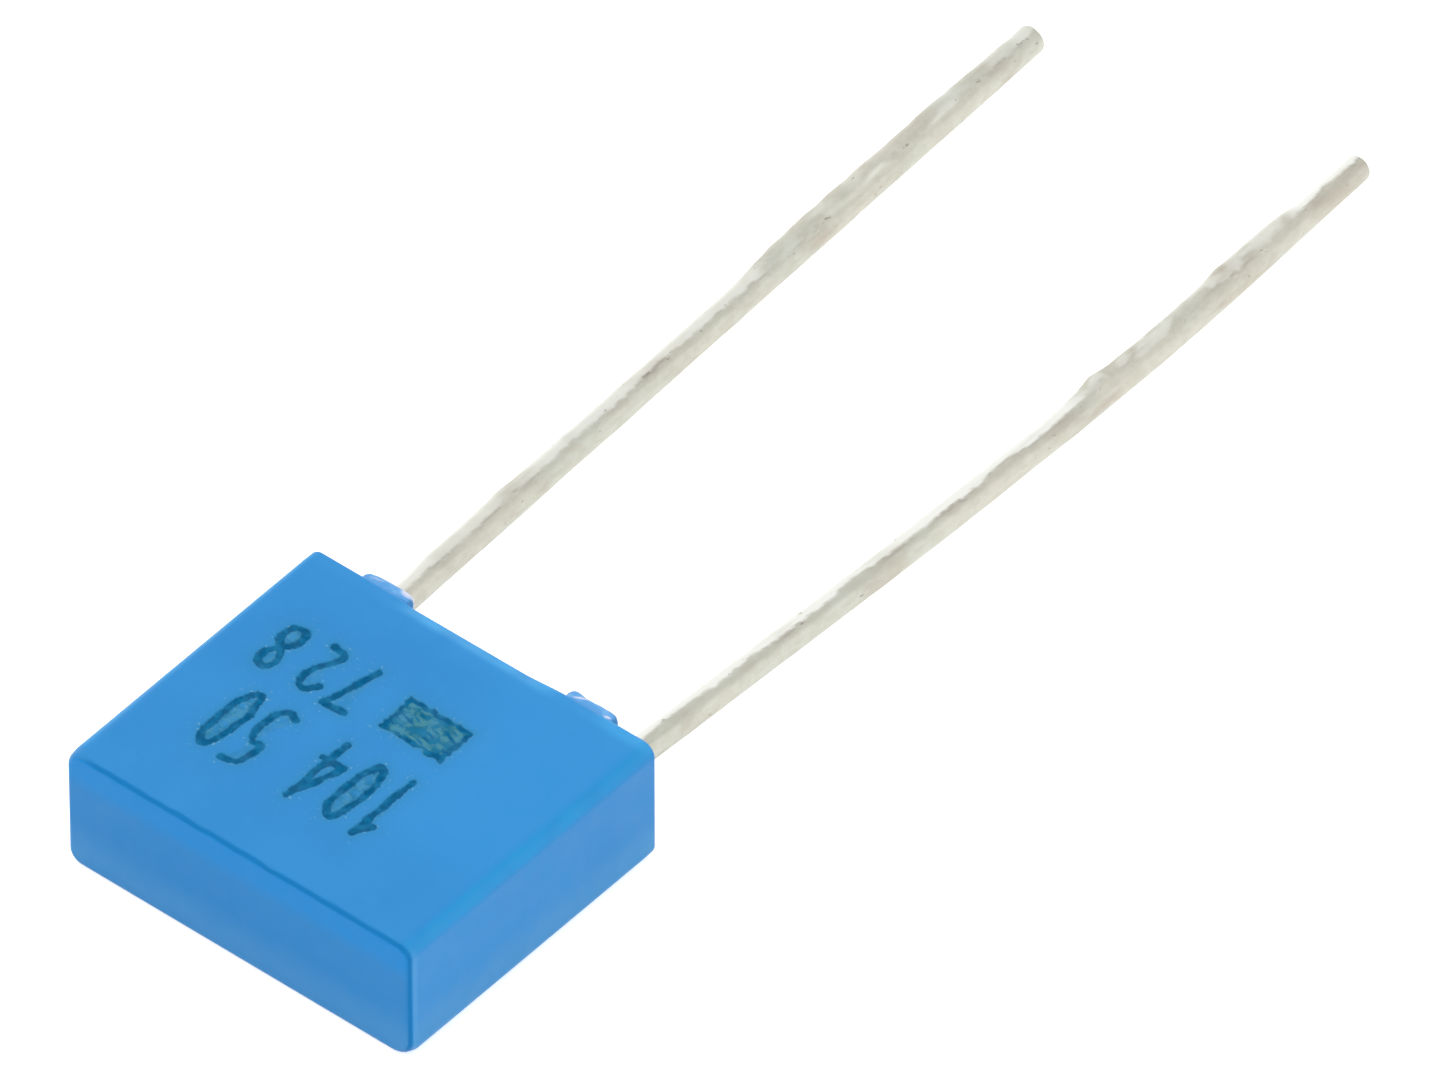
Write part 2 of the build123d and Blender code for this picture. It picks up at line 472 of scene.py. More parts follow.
def face_outwards(mesh):
    shell = bmesh.new()
    shell.from_mesh(mesh)
    bmesh.ops.remove_doubles(shell, verts=shell.verts, dist=1e-9)
    bmesh.ops.recalc_face_normals(shell, faces=shell.faces)
    shell.to_mesh(mesh)
    shell.free()


def made_plain(piece, name):
    """The piece with its modifiers taken up into a plain mesh of its own."""
    bpy.context.view_layer.update()
    drawn = piece.evaluated_get(bpy.context.evaluated_depsgraph_get())
    mesh = bpy.data.meshes.new_from_object(drawn)
    bpy.data.objects.remove(piece)
    return add_object(name, mesh)


def combined(base, others, operation):
    """The base joined with, cut by, or kept inside other closed shapes."""
    for other in others:
        modifier = base.modifiers.new("combine", "BOOLEAN")
        modifier.object, modifier.operation, modifier.solver = other, operation, "MANIFOLD"
    piece = made_plain(base, base.name)
    for other in others:
        bpy.data.objects.remove(other)
    return piece


def ring_profile(half_x, half_z, radii, stops, arc_steps):
    """Points and outward normals round a rounded rectangle.

    radii belong to the corners (-x, +z), (-x, -z), (+x, -z) and (+x, +z). stops are shares of
    each straight side, from -1 to 1, in the same turn: upper side, end, lower side, end.
    """
    signs = ((-1, 1), (-1, -1), (1, -1), (1, 1))
    centres = [np.array((sx * (half_x - r), sz * (half_z - r))) for (sx, sz), r in zip(signs, radii)]
    outward = [np.array(way) for way in ((0, 1), (-1, 0), (0, -1), (1, 0))]
    points, normals = [], []
    for i in range(4):
        start = centres[i - 1] + radii[i - 1] * outward[i]
        end = centres[i] + radii[i] * outward[i]
        for share in stops[i]:
            points.append(start + (end - start) * (share + 1) / 2)
            normals.append(outward[i])
        for j in range(1, arc_steps):
            angle = math.pi / 2 * (i + 1 + j / arc_steps)
            turn = np.array((math.cos(angle), math.sin(angle)))
            points.append(centres[i] + radii[i] * turn)
            normals.append(turn)
    return np.array(points), np.array(normals)


def ringed_solid(name, rings, x_mid=0.0, z_mid=MID_Z):
    """A closed shape through rings of equal length: (profile, inset, y), ends filled."""
    vertices, faces = [], []
    count = len(rings[0][0][0])
    for (points, normals), inset, y in rings:
        placed = points - inset * normals
        vertices += [(x_mid + x, y, z_mid + z) for x, z in placed]
    for level in range(len(rings) - 1):
        for i in range(count):
            j = (i + 1) % count
            low, high = level * count, (level + 1) * count
            faces.append((low + i, low + j, high + j, high + i))
    faces.append(tuple(range(count)))
    faces.append(tuple(range(len(vertices) - count, len(vertices))))
    piece = new_object(name, vertices, faces)
    face_outwards(piece.data)
    return piece


def rounded_edge(radius, steps):
    """Steps of a rounded edge from an end face to a side: (inset, distance from the end)."""
    angles = [math.pi / 2 * i / steps for i in range(steps + 1)]
    return [(radius * (1 - math.sin(a)), radius * (1 - math.cos(a))) for a in angles]


def plain_box(name, low, high):
    xs, ys, zs = zip(low, high)
    corners = [(x, y, z) for x in xs for y in ys for z in zs]
    faces = [(0, 1, 3, 2), (4, 6, 7, 5), (0, 4, 5, 1), (2, 3, 7, 6), (0, 2, 6, 4), (1, 5, 7, 3)]
    piece = new_object(name, corners, faces)
    face_outwards(piece.data)
    return piece


def ripple(points, wavelength, seed, waves=14):
    """Uneven but repeatable waves over points, from about -1 to 1."""
    draw = np.random.default_rng(seed)
    total = np.zeros(len(points))
    for _ in range(waves):
        direction = draw.normal(size=points.shape[1])
        direction /= np.linalg.norm(direction)
        length = wavelength * draw.uniform(0.6, 1.6)
        total += np.sin(points @ direction * (2 * math.pi / length) + draw.uniform(0, 2 * math.pi))
    return total / math.sqrt(waves / 2) / 1.6


def smooth_step(value, start, end):
    share = np.clip((value - start) / (end - start), 0, 1)
    return share * share * (3 - 2 * share)


def vertex_places(mesh):
    """Vertex places in millimetres."""
    places = np.empty(len(mesh.vertices) * 3)
    mesh.vertices.foreach_get("co", places)
    return places.reshape(-1, 3) / MM


def vertex_normals(mesh):
    normals = np.empty(len(mesh.vertices) * 3)
    mesh.vertex_normals.foreach_get("vector", normals)
    return normals.reshape(-1, 3)


def move_vertices(mesh, places):
    mesh.vertices.foreach_set("co", (places * MM).ravel())
    mesh.update()


def store(mesh, name, values):
    layer = mesh.attributes.new(name, "FLOAT", "POINT")
    layer.data.foreach_set("value", np.asarray(values, np.float32))


# --- Marking ---

# Strokes of each figure in a cell one wide and one tall, from its lower left corner
ROUND_FIGURES = "0258"
FIGURES = {
    "0": [[(0.5, 1.0), (0.16, 0.88), (0.04, 0.55), (0.08, 0.2), (0.42, 0.0), (0.8, 0.1), (0.96, 0.45),
           (0.92, 0.82), (0.5, 1.0)]],
    "1": [[(0.22, 0.8), (0.62, 1.0), (0.58, 0.0)]],
    "2": [[(0.05, 0.78), (0.3, 0.98), (0.75, 0.96), (0.92, 0.74), (0.7, 0.46), (0.1, 0.02),
           (0.98, 0.0)]],
    "4": [[(0.72, 0.0), (0.76, 1.0), (0.02, 0.3), (1.0, 0.32)]],
    "5": [[(0.92, 1.0), (0.2, 0.98), (0.12, 0.56), (0.55, 0.64), (0.92, 0.44), (0.88, 0.14), (0.5, 0.0),
           (0.05, 0.08)]],
    "7": [[(0.03, 0.98), (0.97, 1.0), (0.62, 0.5), (0.36, 0.0)]],
    "8": [[(0.5, 0.54), (0.12, 0.72), (0.2, 0.95), (0.55, 1.0), (0.88, 0.9), (0.84, 0.68), (0.5, 0.54),
           (0.06, 0.32), (0.12, 0.06), (0.5, 0.0), (0.92, 0.1), (0.94, 0.34), (0.5, 0.54)]],
}

# Rows of plain figures: figure, its right edge along X, its foot along Y, width, height
UPPER_ROW = [
    ("1", 1.42, 0.42), ("0", 0.80, 0.42), ("4", 0.12, 0.44), ("5", -1.20, 0.42), ("0", -1.86, 0.42),
]
LOWER_ROW = [("7", -0.74, 0.44), ("2", -1.44, 0.42), ("8", -2.30, 0.42)]
UPPER_FOOT_Y, UPPER_HEIGHT = -0.10, 1.5
LOWER_FOOT_Y, LOWER_HEIGHT = 1.50, 1.1
BAR_LOW, BAR_HIGH = (-0.12, 0.55), (1.22, 1.42)
BAR_LINE_PITCH = 0.13
BAR_LINE_SLANT = 0.35


def rounded(points, passes=3):
    """A line with its corners cut off again and again until it curves."""
    for _ in range(passes):
        start, end = points[:-1], points[1:]
        cut = np.stack([0.75 * start + 0.25 * end, 0.25 * start + 0.75 * end], axis=1).reshape(-1, 2)
        closed = np.allclose(points[0], points[-1])
        points = np.vstack([cut, cut[:1]] if closed else [points[:1], cut[1:-1], points[-1:]])
    return points


def figure_lines():
    """The lines of all figures, placed on the upper face."""
    lines = []
    rows = ((UPPER_ROW, UPPER_FOOT_Y, UPPER_HEIGHT), (LOWER_ROW, LOWER_FOOT_Y, LOWER_HEIGHT))
    for row, foot_y, height in rows:
        for figure, right_x, width in row:
            for line in FIGURES[figure]:
                placed = np.array([(right_x - u * width, foot_y - v * height) for u, v in line])
                lines.append(rounded(placed) if figure in ROUND_FIGURES else placed)
    return lines


def distance_to(points, line):
    """Least distance from each point to a line of short pieces."""
    least = np.full(len(points), 1e9)
    for a, b in zip(line[:-1], line[1:]):
        along = np.clip((points - a) @ (b - a) / ((b - a) @ (b - a)), 0, 1)
        least = np.minimum(least, np.linalg.norm(points - a - along[:, None] * (b - a), axis=1))
    return least


def inside_loop(points, loop):
    """Which points lie inside a closed line."""
    inside = np.zeros(len(points), bool)
    for (x0, y0), (x1, y1) in zip(loop, np.roll(loop, -1, axis=0)):
        if y0 != y1:
            crosses = (points[:, 1] > min(y0, y1)) & (points[:, 1] <= max(y0, y1))
            at = x0 + (points[:, 1] - y0) * (x1 - x0) / (y1 - y0)
            inside ^= crosses & (points[:, 0] < at)
    return inside


def figure_marks(points, moved):
    """Cut strokes of the figures, smudges inside them, and how far each point is from a stroke."""
    half = STROKE_WIDTH / 2 * (1 + 0.17 * ripple(points, 0.45, 5) + 0.12 * ripple(points, 0.13, 6))
    burn = 0.90 + 0.10 * ripple(points, 0.35, 11)
    smudge = 0.42 + 0.16 * ripple(points, 0.22, 10)
    cut, fill, away = np.zeros(len(points)), np.zeros(len(points)), np.full(len(points), 1e9)
    for line in figure_lines():
        near = distance_to(moved, line)
        blot = BLOT_SIZE * np.exp(-(np.linalg.norm(moved - line[0], axis=1) / BLOT_REACH) ** 2)
        stroke = 1 - smooth_step(near, half + blot - 0.035, half + blot + 0.025)
        cut = np.maximum(cut, stroke * burn)
        spread = 1.0 if np.allclose(line[0], line[-1]) else 0.4
        fill = np.maximum(fill, inside_loop(moved, line) * smudge * spread)
        away = np.minimum(away, near)
    return cut, fill, away


def bar_marks(points, moved):
    """The bar's cut outline and scan lines, its smudge, and how far each point is from its edge."""
    middle = (np.array(BAR_LOW) + BAR_HIGH) / 2
    half_size = (np.array(BAR_HIGH) - BAR_LOW) / 2
    beyond = np.abs(moved - middle) - half_size
    edge = np.linalg.norm(np.maximum(beyond, 0), axis=1) + np.minimum(beyond.max(axis=1), 0)
    ragged = edge + 0.022 * ripple(points, 0.2, 7)
    across = moved[:, 0] * BAR_LINE_SLANT + moved[:, 1]
    scan = 0.5 + 0.5 * np.cos(across * 2 * math.pi / BAR_LINE_PITCH)
    inside = 1 - smooth_step(ragged, -0.03, 0.02)
    outline = 1 - smooth_step(np.abs(ragged + 0.055), 0.025, 0.08)
    outline = outline * (0.78 + 0.25 * ripple(points, 0.4, 12))
    lines = inside * np.clip(0.64 * scan * (0.42 + 0.9 * ripple(points, 0.35, 8)), 0, 1)
    fill = inside * (0.85 + 0.15 * ripple(points, 0.4, 13))
    return np.maximum(lines, outline), fill, edge


def marking(points):
    """The marking at each point, from 0 to 1: cut strokes, smudged fills, and the haze round both."""
    wander = np.stack([ripple(points, 0.5, 3), ripple(points, 0.5, 4)], axis=1) * LINE_WANDER
    moved = points + wander
    cut, fill, away = figure_marks(points, moved)
    bar_cut, bar_fill, bar_edge = bar_marks(points, moved)
    haze = np.exp(-np.maximum(np.minimum(away - STROKE_WIDTH / 2, bar_edge), 0) / HAZE_REACH)
    return np.maximum(cut, bar_cut), np.maximum(fill, bar_fill), haze


# --- Pieces ---


def even_stops(broad, narrow):
    """Evenly spread stops: so many on the upper and lower sides, and so many on the ends."""
    upper, end = list(np.linspace(-1, 1, broad)), list(np.linspace(-1, 1, narrow))
    return upper, end, upper, end


def case_stops():
    """Where the case's grid lines cross each side: dense under the marking."""
    flat = HALF_LENGTH - LONG_EDGE_RADIUS
    dense = -np.arange(MARK_LOW[0], MARK_HIGH[0], MARK_GRID)[::-1]
    before = np.linspace(-flat, dense[0], 6)[1:-1]
    after = np.linspace(dense[-1], flat, 4)[1:-1]
    upper = np.concatenate([[-flat, -flat + 0.03], before, dense, after, [flat - 0.03, flat]])
    lower = [-1, -0.99, -0.5, 0, 0.5, 0.99, 1]
    end = [-1, -0.96, 0, 0.96, 1]
    return list(upper / flat), end, lower, end


def cavity_mouth(stops):
    return ring_profile(CAVITY_HALF_X, CAVITY_HALF_Z, [CAVITY_CORNER_RADIUS] * 4, stops, 10)


def cavity_rings(stops, top_y):
    """Rings down a cavity from top_y to its rounded floor."""
    mouth = cavity_mouth(stops)
    levels = [top_y, (top_y + FLOOR_Y) / 2, FLOOR_Y + CAVITY_FLOOR_RADIUS]
    rings = [(mouth, (RIM_Y - y) * CAVITY_DRAFT, y) for y in levels]
    floor_inset = (RIM_Y - FLOOR_Y) * CAVITY_DRAFT
    for inset, rise in reversed(rounded_edge(CAVITY_FLOOR_RADIUS, 5)[:-1]):
        rings.append((mouth, floor_inset + inset, FLOOR_Y + rise))
    return rings


def pad(x_mid, z_mid, crown, seed):
    """One stand-off pad with soft edges; crown says how far its top falls short along X."""
    half_x, half_z = PAD_LENGTH / 2, PAD_THICKNESS / 2
    profile = ring_profile(half_x, half_z, [PAD_CORNER_RADIUS] * 4, even_stops(30, 4), 8)
    rises = (-0.12, 0.02, 0.04, 0.06, 0.08, 0.10, 0.12, 0.14, 0.155)
    rings = [(profile, 0.0, RIM_Y + rise) for rise in rises]
    rings += [(profile, d, PAD_TOP_Y - drop) for d, drop in reversed(rounded_edge(PAD_EDGE_RADIUS, 8))]
    rings.append((profile, PAD_EDGE_RADIUS + 0.015, PAD_TOP_Y))
    piece = ringed_solid("pad", rings, x_mid, z_mid)
    places = vertex_places(piece.data)
    lift = np.clip((places[:, 1] - RIM_Y) / PAD_HEIGHT, 0, 1)
    drop = np.interp(places[:, 0] - x_mid, *zip(*crown))
    wave = PAD_WAVE * (1 + ripple(places[:, [0, 2]], 0.35, seed)) / 2
    places[:, 1] -= (drop + wave) * lift
    move_vertices(piece.data, places)
    return piece


def rib(side, below, clear):
    """A rib that starts so far below the cavity's floor, and ends so far inside the broad faces."""
    x = side * RIB_SPACING / 2
    low = (x - RIB_WIDTH / 2, FLOOR_Y - below, clear)
    return plain_box("rib", low, (x + RIB_WIDTH / 2, BLOCK_BOTTOM_Y, 2 * MID_Z - clear))


def window(value, start, full, last, end):
    """Rises from 0 to 1 between start and full, and falls back between last and end."""
    return smooth_step(value, start, full) * (1 - smooth_step(value, last, end))


def sink_rim(mesh):
    """Draws the broad walls' rim edges in a little between the pads, as moulding leaves them."""
    places = vertex_places(mesh)
    height = places[:, 2] - MID_Z
    share = 0.15 + 0.85 * window(places[:, 0], *SINK_SPAN)
    near_rim = smooth_step(places[:, 1], RIM_Y - SINK_REACH, RIM_Y)
    outer = smooth_step(np.abs(height), CAVITY_HALF_Z + 0.05, HALF_THICKNESS - 0.1)
    places[:, 2] -= np.sign(height) * SINK_DEPTH * share * near_rim * outer
    move_vertices(mesh, places)


def outer_profile(y, stops):
    """The case's outline at y; two of its long edges are rounder towards the closed end."""
    share = (y - CLOSED_END_Y) / (RIM_Y - CLOSED_END_Y)
    near_end = 1 - smooth_step(y, CLOSED_END_Y, CLOSED_END_Y + 0.25)
    radii = [LONG_EDGE_RADIUS] * 4
    radii[0] += 0.08 * near_end - 0.07 * share
    radii[2] += 0.14 * near_end - 0.04 * share
    return ring_profile(HALF_LENGTH, HALF_THICKNESS, radii, stops, 10)


def case_rings():
    """Rings up the case's outside, over its rim, and down the cavity to its floor."""
    stops = case_stops()
    mouth = cavity_mouth(stops)
    levels = [(CLOSED_EDGE_RADIUS + 0.02, CLOSED_END_Y)]
    levels += [(d, CLOSED_END_Y + rise) for d, rise in rounded_edge(CLOSED_EDGE_RADIUS, 9)]
    side_start = CLOSED_END_Y + CLOSED_EDGE_RADIUS
    side_end = RIM_Y - RIM_EDGE_RADIUS
    rises = (0.02, 0.04, 0.06, 0.08, 0.10, 0.12, 0.15, 0.2, 0.3, 0.4, 0.6)
    side = [side_start + rise for rise in rises]
    side += list(np.arange(MARK_LOW[1], MARK_HIGH[1], MARK_GRID)) + [2.4]
    side += list(np.linspace(RIM_Y - SINK_REACH - 0.04, side_end - 0.02, 9))
    levels += [(0.0, y) for y in side]
    levels += [(d, RIM_Y - drop) for d, drop in reversed(rounded_edge(RIM_EDGE_RADIUS, 7))]
    levels.append((RIM_EDGE_RADIUS + 0.015, RIM_Y))
    rings = [(outer_profile(y, stops), inset, y) for inset, y in levels]
    rings.append((mouth, -MOUTH_EDGE_RADIUS - 0.012, RIM_Y))
    for d, drop in rounded_edge(MOUTH_EDGE_RADIUS, 4):
        rings.append((mouth, d - MOUTH_EDGE_RADIUS, RIM_Y - drop))
    return rings + cavity_rings(stops, RIM_Y - 0.12)


def case_piece():
    """The moulded case with pads, ribs, cavity and its laser marking."""
    case = ringed_solid("case_shell", case_rings())
    extras = []
    pad_z = HALF_THICKNESS - PAD_SETBACK - PAD_THICKNESS / 2
    for x_side in (-1, 1):
        for z_side in (-1, 1):
            crown = CROWNS[x_side * z_side]
            extras.append(pad(x_side * PAD_MID_X, MID_Z + z_side * pad_z, crown, 20 + len(extras)))
    extras += [rib(side, 0.1, BROAD_WALL - 0.1) for side in (-1, 1)]
    sink_rim(case.data)
    case = combined(case, extras, "UNION")
    finish_case(case.data)
    return case


def gleams(places):
    """Where the painted highlights lie on the upper pads."""
    total = np.zeros(len(places))
    for x, rise, slope, half_x, half_y, strength in GLEAMS:
        across, above = places[:, 0] - x, places[:, 1] - RIM_Y - rise
        away = np.hypot(across / half_x, (above - slope * across) / half_y)
        total = np.maximum(total, strength * (1 - smooth_step(away, 0.6, 1.1)))
    return total * (places[:, 2] > MID_Z)


def edge_notes(places, normals, patchy):
    """The painted dark line and painted highlight round the closed end, and the long edges' painted
    highlight.
    """
    flat = np.abs(normals)
    from_end = places[:, 1] - CLOSED_END_Y
    between = np.minimum(flat[:, 0], flat[:, 2])
    sideways = flat[:, 0] / np.maximum(np.hypot(flat[:, 0], flat[:, 2]), 1e-3)
    turn = np.degrees(np.arccos(np.clip(-normals[:, 1], -1, 1)))
    turn += 7 * ripple(places[:, [0, 2]], 0.45, 14)
    turn -= 12 * smooth_step(sideways, 0.5, 0.9)
    # The painted dark line on the closed end's rounded edge, fading out towards -X
    line = (from_end < CLOSED_EDGE_RADIUS + 0.01) * window(turn, 8, 28, 58, 76)
    line *= (1 - 0.35 * smooth_step(between, 0.15, 0.5)) * smooth_step(places[:, 0], -3.35, -3.05)
    # A painted highlight on the +X end wall just beside the closed edge
    closed_edge_highlight = smooth_step(normals[:, 0], 0.75, 0.95) * window(from_end, 0.05, 0.09, 0.14, 0.24)
    # Where the long edges' painted highlight lies
    long_edge = smooth_step(between, 0.08, 0.5) * (flat[:, 1] < 0.05)
    return {"edge_line": line, "edge_highlight": closed_edge_highlight * patchy, "long_edge": long_edge * patchy}


def face_notes(places, normals, patchy):
    """The faces, the painted sheen band of the upper one beside the rim, and the pads with their
    painted sheen and painted highlights.
    """
    x, y, upward = places[:, 0], places[:, 1], normals[:, 2]
    # A painted sheen band on the upper face beside the rim, weaker at -X and beside the right pad
    band = window(RIM_Y - y, 0.02, 0.06, 0.13, 0.40) * smooth_step(upward, 0.3, 0.8)
    beside_pad = window(x, 1.4, 1.7, 2.3, 2.6)
    band *= (0.15 + 0.85 * smooth_step(x, -2.2, -1.0)) * (1 - 0.8 * beside_pad)
    on_pad = smooth_step(y, RIM_Y + 0.02, RIM_Y + 0.06)
    return {
        "marked_face": smooth_step(upward, 0.90, 0.98),
        "end_wall": smooth_step(normals[:, 0], 0.75, 0.95),
        "closed_end": smooth_step(-normals[:, 1], 0.75, 0.95),
        "rim_band": band * patchy,
        "pad": on_pad,
        # The pads' faces that look up, which get a painted sheen
        "pad_face": on_pad * smooth_step(upward, 0.75, 0.98),
        "gleam": on_pad * gleams(places),
    }


def finish_case(mesh):
    """Cuts the marking, and notes the marks, edges and faces, whose finish and painted light and shade
    differ.
    """
    places, normals = vertex_places(mesh), vertex_normals(mesh)
    patchy = 0.8 + 0.25 * ripple(places, 0.6, 15)
    notes = edge_notes(places, normals, patchy) | face_notes(places, normals, patchy)
    on_face = (places[:, 2] > 2 * MID_Z - 1e-4) & (places[:, 1] < RIM_Y - 0.5)
    cut, fill, haze = np.zeros((3, len(places)))
    cut[on_face], fill[on_face], haze[on_face] = marking(places[on_face][:, :2])
    depth = ETCH_DEPTH * np.maximum(cut, 0.4 * fill)
    places[:, 2] -= depth * (1 + 0.25 * ripple(places[:, :2], 0.09, 9))
    move_vertices(mesh, places)
    notes |= {"etch": cut, "etch_fill": fill, "etch_haze": haze}
    for name, values in notes.items():
        store(mesh, name, np.clip(values, 0, 1))


def lead_route(box, side, runs):
    """Corner points of a lead's centre line, and the radius of each bend."""
    low, high = (corner / MM for corner in box)
    x = (low.x + WIRE_RADIUS) if side > 0 else (high.x - WIRE_RADIUS)
    y = PAD_TOP_Y + BEND_CLEARANCE
    points = [(x, low.y, MID_Z), (x, y, MID_Z)]
    for length, lean in runs:
        x += side * length * math.sin(math.radians(lean))
        y += length * math.cos(math.radians(lean))
        points.append((x, y, MID_Z))
    radii = [0.0, *BEND_RADII[: len(runs)], 0.0]
    return points, radii


def wire_inputs(tree):
    """The sockets of a wire's drawing: its route, its sizes in millimetres, how finely it is drawn."""
    sizes = {
        "Wire radius": 0.25, "Tip radius": 0.11, "Clean length": 5.0, "Facet depth": 0.012,
        "Grain depth": 0.003, "Swelling": 0.02, "Scale": MM, "Seed": 1.0,
    }
    counts = {"Rings": 640, "Around": 44}
    tree.interface.new_socket("Route", in_out="INPUT", socket_type="NodeSocketGeometry")
    for values, kind in ((sizes, "NodeSocketFloat"), (counts, "NodeSocketInt")):
        for label, value in values.items():
            socket = tree.interface.new_socket(label, in_out="INPUT", socket_type=kind)
            socket.default_value = value
    tree.interface.new_socket("Wire", in_out="OUTPUT", socket_type="NodeSocketGeometry")
    return add(tree, "NodeGroupInput").outputs


def wire_line(tree, given):
    """The route with its bends rounded, as points that close up towards the tip; and its length."""
    corners = result("GeometryNodeMeshToCurve", {"Mesh": given["Route"]})
    bends = {"Curve": corners, "Radius": named(tree, "bend"), "Count": 40}
    route = result("GeometryNodeFilletCurve", bends, mode="POLY")
    length = result("GeometryNodeCurveLength", {"Curve": route})
    line = add(tree, "GeometryNodeCurvePrimitiveLine").outputs[0]
    line = result("GeometryNodeResampleCurve", {"Curve": line, "Count": given["Rings"]})
    share = add(tree, "GeometryNodeSplineParameter").outputs["Factor"]
    left = calc("POWER", calc("SUBTRACT", 1.0, share), 1.35)
    reach = times(length, calc("SUBTRACT", 1.0, left))
    at = follow("GeometryNodeSampleCurve", {"Curves": route, "Length": reach}, mode="LENGTH")
    kept = {"Geometry": line, "Name": "reach", "Value": reach}
    stored = follow("GeometryNodeStoreNamedAttribute", kept, data_type="FLOAT", domain="POINT")
    placed = {"Geometry": stored.outputs[0], "Position": at.outputs["Position"]}
    return result("GeometryNodeSetPosition", placed), length


def wire_thickness(given, along, tip_left, loose):
    """The wire's radius: thick and thin along it, and rounded off at the tip."""
    place = result("ShaderNodeCombineXYZ", {0: given["Seed"], 1: along})
    thick = calc("SUBTRACT", noise(place, 0.35, 1.0), 0.42)
    thick = times(times(thick, given["Swelling"]), loose)
    tip = given["Tip radius"]
    drop = calc("SUBTRACT", tip, calc("MINIMUM", tip_left, tip))
    square = calc("SUBTRACT", calc("POWER", tip, 2.0), calc("POWER", drop, 2.0))
    rounded_off = calc("SUBTRACT", tip, calc("SQRT", calc("MAXIMUM", square, 0.0)))
    return calc("SUBTRACT", calc("ADD", given["Wire radius"], thick), rounded_off)


def wire_relief(tree, given, tip_left, loose):
    """How far each place is moved outwards: facets and grain, drawn out along the wire."""
    place = add(tree, "GeometryNodeInputPosition").outputs[0]
    place = calc_vector("SCALE", {0: place, "Scale": 1 / MM})
    shift = result("ShaderNodeCombineXYZ", {0: given["Seed"], 2: given["Seed"]})
    place = calc_vector("ADD", {0: place, 1: shift})
    place = calc_vector("MULTIPLY", {0: place, 1: (1.0, 0.3, 1.0)})
    facets = calc("SUBTRACT", noise(place, 2.6, 2.0, 0.45), 0.5)
    grain = calc("SUBTRACT", noise(place, 14.0, 2.0, 0.5), 0.5)
    deep, fine = (times(given[label], given["Scale"]) for label in ("Facet depth", "Grain depth"))
    height = calc("MULTIPLY_ADD", facets, deep, times(grain, fine))
    shown = times(loose, fade(tip_left, 0.0, 0.1))
    height = times(times(height, 2.0), shown)
    normal = add(tree, "GeometryNodeInputNormal").outputs[0]
    return calc_vector("SCALE", {0: normal, "Scale": height})


def wire_tree(name, material):
    """Geometry nodes that draw a wire along a route: uneven, streaked, rounded off at its tip."""
    tree = bpy.data.node_groups.new(name, "GeometryNodeTree")
    given = wire_inputs(tree)
    line, length = wire_line(tree, given)
    along = calc("DIVIDE", named(tree, "reach"), given["Scale"])
    tip_left = calc("SUBTRACT", calc("DIVIDE", length, given["Scale"]), along)
    loose = fade(along, given["Clean length"], calc("ADD", given["Clean length"], 1.0))
    round_line = {"Resolution": given["Around"], "Radius": given["Scale"]}
    circle = result("GeometryNodeCurvePrimitiveCircle", round_line, mode="RADIUS")
    tube = result("GeometryNodeCurveToMesh", {
        "Curve": line, "Profile Curve": circle, "Fill Caps": True,
        "Scale": wire_thickness(given, along, tip_left, loose),
    })
    offset = wire_relief(tree, given, tip_left, loose)
    wire = result("GeometryNodeSetPosition", {"Geometry": tube, "Offset": offset})
    wire = result("GeometryNodeRealizeInstances", {"Geometry": wire})
    wire = result("GeometryNodeSetMaterial", {"Geometry": wire, "Material": material})
    follow("NodeGroupOutput", {0: wire})
    return tree


def lead_piece(name, node, side, runs, coat, seed, material):
    """A tinned lead drawn along its route."""
    points, radii = lead_route(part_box(node), side, runs)
    edges = [(i, i + 1) for i in range(len(points) - 1)]
    rail = bpy.data.meshes.new(name + "_route")
    rail.from_pydata(metres(points), edges, [])
    store(rail, "bend", [r * MM for r in radii])
    carrier = add_object(name + "_route", rail)
    modifier = carrier.modifiers.new("draw", "NODES")
    modifier.node_group = wire_tree(name + "_drawing", material)
    labels = {item.name: item.identifier for item in modifier.node_group.interface.items_tree}
    modifier[labels["Seed"]] = float(seed)
    lead = made_plain(carrier, name)
    face_outwards(lead.data)
    tin_coat(lead.data, coat, seed)
    return lead


